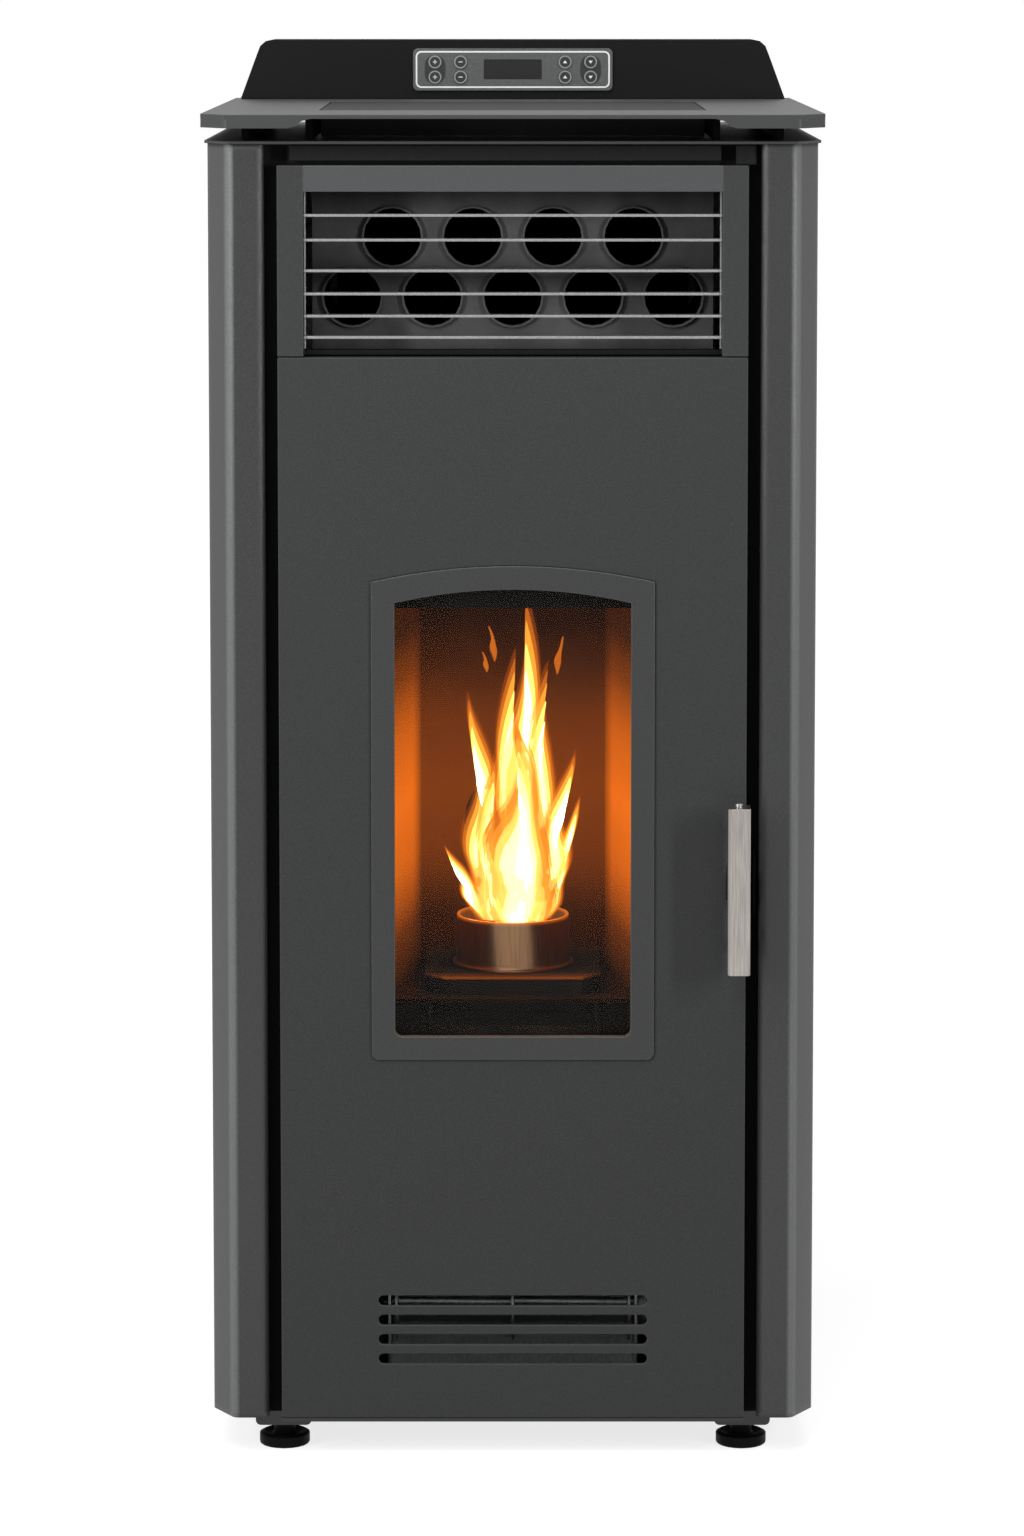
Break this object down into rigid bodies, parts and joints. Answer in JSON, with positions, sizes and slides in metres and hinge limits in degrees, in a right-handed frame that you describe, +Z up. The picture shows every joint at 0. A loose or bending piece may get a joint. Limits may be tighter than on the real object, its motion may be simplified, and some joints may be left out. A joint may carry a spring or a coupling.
{
  "type": "pellet stove",
  "caption": "Upright free-standing pellet stove: arched-window door, warm-air grille, top hopper lid, rear console with buttons, rear flue.",
  "frame": {"origin": "on the floor, under the middle of the stove's overall box", "axes": "+X to the right seen from the front, +Y from the front to the back, +Z up"},
  "size_m": [0.46, 0.6, 1.0558],
  "materials": {
    "grey_paint": "fine textured powder coat",
    "black_paint": "satin",
    "dark_steel": "matt",
    "fire_steel": "sooty matt",
    "brushed_steel": "brushed",
    "zinc_steel": "dull zinc",
    "black_plastic": "matt",
    "grey_plastic": "satin",
    "window_glass": "clear, faintly smoked",
    "display_glass": "dark gloss",
    "seal_rope": "braided",
    "circuit_board": "green lacquer"
  },
  "bodies": {
    "root": {"base_plate": "black_paint", "side_panel_left": "grey_paint", "side_panel_right": "grey_paint", "rear_panel": "zinc_steel", "body_top_plate": "black_paint", "front_frame": "black_paint", "grille_frame": "grey_paint", "louvre_bars": "grey_paint", "door_hinge_lower": "zinc_steel", "door_hinge_upper": "zinc_steel", "top_slab": "grey_paint", "slab_spacer_left": "black_paint", "slab_spacer_right": "black_paint", "lid_hinge_pin": "zinc_steel", "console_housing": "black_paint", "console_back": "black_paint", "control_plate": "grey_plastic", "display_lens": "display_glass", "control_board": "circuit_board", "heat_exchanger": "dark_steel", "firebox": "fire_steel", "baffle_plate": "dark_steel", "air_wash_deflector": "dark_steel", "pot_shelf": "dark_steel", "ash_pan": "dark_steel", "igniter": "zinc_steel", "hopper": "zinc_steel", "auger_tube": "dark_steel", "auger_motor": "zinc_steel", "smoke_duct": "zinc_steel", "exhaust_fan_housing": "zinc_steel", "flue_outlet": "zinc_steel", "air_intake_pipe": "zinc_steel", "room_fan_housing": "zinc_steel", "power_inlet": "black_plastic"},
    "door": {"door_panel": "grey_paint", "window_frame": "grey_paint", "window_glass": "window_glass", "glass_retainer": "dark_steel", "door_seal": "seal_rope"},
    "handle": {"door_handle": "brushed_steel", "latch_hook": "zinc_steel"},
    "lid": {"hopper_lid": "grey_paint"},
    "pot": {"burn_pot": "brushed_steel"},
    "auger": {"auger_screw": "dark_steel"},
    "exhaust_fan": {"exhaust_impeller": "zinc_steel"},
    "room_fan": {"room_fan_roller": "zinc_steel"},
    "rocker": {"power_switch": "black_plastic"},
    "key_1": {"button_1": "grey_plastic"},
    "key_2": {"button_2": "grey_plastic"},
    "key_3": {"button_3": "grey_plastic"},
    "key_4": {"button_4": "grey_plastic"},
    "key_5": {"button_5": "grey_plastic"},
    "key_6": {"button_6": "grey_plastic"},
    "key_7": {"button_7": "grey_plastic"},
    "key_8": {"button_8": "grey_plastic"},
    "foot_front_left": {"levelling_foot_front_left": "black_plastic"},
    "foot_front_right": {"levelling_foot_front_right": "black_plastic"},
    "foot_rear_left": {"levelling_foot_rear_left": "black_plastic"},
    "foot_rear_right": {"levelling_foot_rear_right": "black_plastic"}
  },
  "joints": [
    {"name": "door_hinge", "type": "hinge", "parent": "root", "child": "door", "pos_m": [-0.167, -0.252, 0.43], "axis": [0, 0, -1], "range_deg": [0, 110]},
    {"name": "handle_turn", "type": "hinge", "parent": "door", "child": "handle", "pos_m": [0.1665, -0.285, 0.437], "axis": [0, 0, 1], "range_deg": [0, 20]},
    {"name": "lid_hinge", "type": "hinge", "parent": "root", "child": "lid", "pos_m": [0, 0.125, 1.004], "axis": [-1, 0, 0], "range_deg": [0, 100]},
    {"name": "pot_lift", "type": "slide", "parent": "root", "child": "pot", "axis": [0, 0, 1], "range_m": [0, 0.12]},
    {"name": "auger_spin", "type": "hinge", "parent": "root", "child": "auger", "pos_m": [0, 0.163, 0.425], "axis": [0, -0.809, 0.5878], "continuous": true},
    {"name": "exhaust_fan_spin", "type": "hinge", "parent": "root", "child": "exhaust_fan", "pos_m": [-0.125, -0.027, 0.15], "axis": [1, 0, 0], "continuous": true},
    {"name": "room_fan_spin", "type": "hinge", "parent": "root", "child": "room_fan", "pos_m": [0, -0.15, 0.092], "axis": [1, 0, 0], "continuous": true},
    {"name": "power_rocker", "type": "hinge", "parent": "root", "child": "rocker", "pos_m": [0.163, 0.252, 0.09], "axis": [1, 0, 0], "range_deg": [0, 20]},
    {"name": "button_1_press", "type": "slide", "parent": "root", "child": "key_1", "axis": [0, 1, 0], "range_m": [0, 0.0008], "stiffness_N_per_m": 800},
    {"name": "button_2_press", "type": "slide", "parent": "root", "child": "key_2", "axis": [0, 1, 0], "range_m": [0, 0.0008], "stiffness_N_per_m": 800},
    {"name": "button_3_press", "type": "slide", "parent": "root", "child": "key_3", "axis": [0, 1, 0], "range_m": [0, 0.0008], "stiffness_N_per_m": 800},
    {"name": "button_4_press", "type": "slide", "parent": "root", "child": "key_4", "axis": [0, 1, 0], "range_m": [0, 0.0008], "stiffness_N_per_m": 800},
    {"name": "button_5_press", "type": "slide", "parent": "root", "child": "key_5", "axis": [0, 1, 0], "range_m": [0, 0.0008], "stiffness_N_per_m": 800},
    {"name": "button_6_press", "type": "slide", "parent": "root", "child": "key_6", "axis": [0, 1, 0], "range_m": [0, 0.0008], "stiffness_N_per_m": 800},
    {"name": "button_7_press", "type": "slide", "parent": "root", "child": "key_7", "axis": [0, 1, 0], "range_m": [0, 0.0008], "stiffness_N_per_m": 800},
    {"name": "button_8_press", "type": "slide", "parent": "root", "child": "key_8", "axis": [0, 1, 0], "range_m": [0, 0.0008], "stiffness_N_per_m": 800},
    {"name": "foot_front_left_screw", "type": "slide", "parent": "root", "child": "foot_front_left", "axis": [0, 0, -1], "range_m": [0, 0.015]},
    {"name": "foot_front_right_screw", "type": "slide", "parent": "root", "child": "foot_front_right", "axis": [0, 0, -1], "range_m": [0, 0.015]},
    {"name": "foot_rear_left_screw", "type": "slide", "parent": "root", "child": "foot_rear_left", "axis": [0, 0, -1], "range_m": [0, 0.015]},
    {"name": "foot_rear_right_screw", "type": "slide", "parent": "root", "child": "foot_rear_right", "axis": [0, 0, -1], "range_m": [0, 0.015]}
  ]
}
